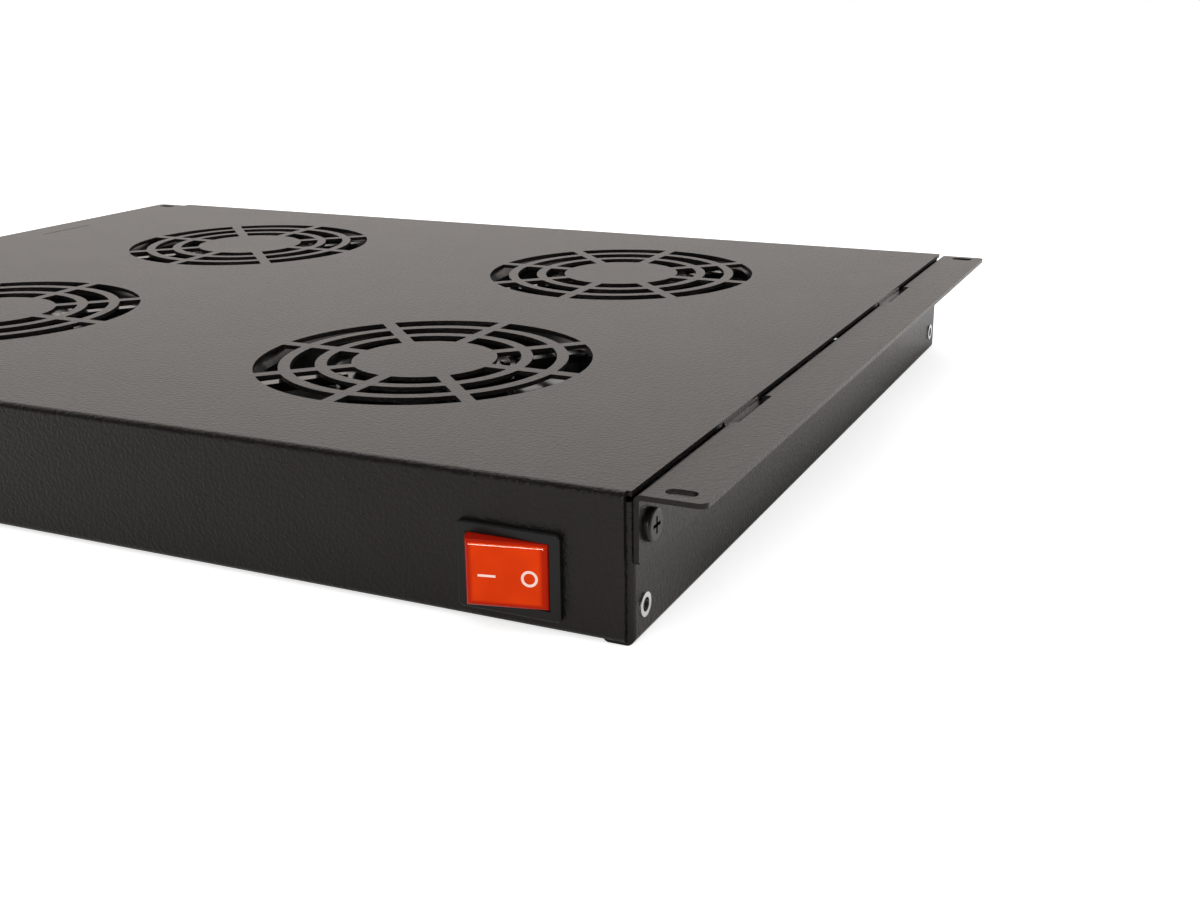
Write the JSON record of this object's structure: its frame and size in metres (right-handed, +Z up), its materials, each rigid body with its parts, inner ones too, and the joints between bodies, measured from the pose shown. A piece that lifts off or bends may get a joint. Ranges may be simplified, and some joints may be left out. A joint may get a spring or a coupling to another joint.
{
  "type": "rack fan tray",
  "caption": "Low rack fan tray: folded steel pan with punched ring grilles over axial fans, rocker switch in front, mains inlet behind and slotted side brackets.",
  "frame": {"origin": "bottom centre of the whole object's box, switch and inlet included", "axes": "+X to the right across the rack's width, +Y from the switch side to the back, +Z up"},
  "size_m": [0.4826, 0.3736, 0.043],
  "materials": {
    "powder_coat": "fine textured semi-gloss black powder coat",
    "black_screw": "black passivated steel, satin",
    "insert_zinc": "bright zinc",
    "switch_black": "satin black moulding",
    "rocker_red": "translucent orange-red, polished",
    "lamp_glass": "clear neon lamp",
    "terminal_brass": "plain brass",
    "boot_vinyl": "soft black vinyl",
    "inlet_black": "satin black moulding",
    "fastener_zinc": "zinc plated",
    "fan_frame_black": "gloss black stoved die casting",
    "impeller_black": "gloss black moulding",
    "bearing_steel": "ground steel",
    "core_steel": "varnished electrical steel",
    "guard_chrome": "bright nickel plated wire",
    "block_nylon": "natural nylon",
    "lead_black": "black flexible sheath",
    "earth_green": "green and yellow sheath",
    "clip_nylon": "natural nylon"
  },
  "bodies": {
    "chassis": {"top_pan": "powder_coat", "bracket_right": "powder_coat", "bracket_left": "powder_coat", "bracket_screws": "black_screw", "upper_insert_nuts": "insert_zinc", "lower_insert_nuts": "insert_zinc", "switch_housing": "switch_black", "switch_lamp": "lamp_glass", "switch_terminals": "terminal_brass", "switch_boot": "boot_vinyl", "inlet_housing": "inlet_black", "inlet_pins": "terminal_brass", "inlet_screws": "fastener_zinc", "inlet_nuts": "fastener_zinc", "inlet_boot": "boot_vinyl", "fan_frame_front_left": "fan_frame_black", "fan_bearings_front_left": "bearing_steel", "fan_stator_front_left": "core_steel", "fan_guard_front_left": "guard_chrome", "fan_frame_front_right": "fan_frame_black", "fan_bearings_front_right": "bearing_steel", "fan_stator_front_right": "core_steel", "fan_guard_front_right": "guard_chrome", "fan_frame_rear_left": "fan_frame_black", "fan_bearings_rear_left": "bearing_steel", "fan_stator_rear_left": "core_steel", "fan_guard_rear_left": "guard_chrome", "fan_frame_rear_right": "fan_frame_black", "fan_bearings_rear_right": "bearing_steel", "fan_stator_rear_right": "core_steel", "fan_guard_rear_right": "guard_chrome", "weld_studs": "fastener_zinc", "stud_washers": "fastener_zinc", "stud_nuts": "fastener_zinc", "guard_screws": "fastener_zinc", "guard_nuts": "fastener_zinc", "terminal_block": "block_nylon", "terminal_screws": "terminal_brass", "fan_leads": "lead_black", "inlet_lead": "lead_black", "switch_lead": "lead_black", "earth_lead": "earth_green", "earth_terminal": "terminal_brass", "cable_clips": "clip_nylon"},
    "rocker": {"switch_rocker": "rocker_red"},
    "fan_wheel_front_left": {"impeller_front_left": "impeller_black", "fan_rotor_front_left": "core_steel", "fan_shaft_front_left": "bearing_steel"},
    "fan_wheel_front_right": {"impeller_front_right": "impeller_black", "fan_rotor_front_right": "core_steel", "fan_shaft_front_right": "bearing_steel"},
    "fan_wheel_rear_left": {"impeller_rear_left": "impeller_black", "fan_rotor_rear_left": "core_steel", "fan_shaft_rear_left": "bearing_steel"},
    "fan_wheel_rear_right": {"impeller_rear_right": "impeller_black", "fan_rotor_rear_right": "core_steel", "fan_shaft_rear_right": "bearing_steel"}
  },
  "joints": [
    {"name": "rocker_tilt", "type": "hinge", "parent": "chassis", "child": "rocker", "pos_m": [0.1868, -0.17919, 0.0169], "axis": [0, 0, 1], "range_deg": [-25, 0]},
    {"name": "fan_spin_front_left", "type": "hinge", "parent": "chassis", "child": "fan_wheel_front_left", "pos_m": [-0.1013, -0.08114, 0.02], "axis": [0, 0, 1], "continuous": true},
    {"name": "fan_spin_front_right", "type": "hinge", "parent": "chassis", "child": "fan_wheel_front_right", "pos_m": [0.1013, -0.08114, 0.02], "axis": [0, 0, 1], "continuous": true},
    {"name": "fan_spin_rear_left", "type": "hinge", "parent": "chassis", "child": "fan_wheel_rear_left", "pos_m": [-0.1013, 0.08426, 0.02], "axis": [0, 0, 1], "continuous": true},
    {"name": "fan_spin_rear_right", "type": "hinge", "parent": "chassis", "child": "fan_wheel_rear_right", "pos_m": [0.1013, 0.08426, 0.02], "axis": [0, 0, 1], "continuous": true}
  ]
}
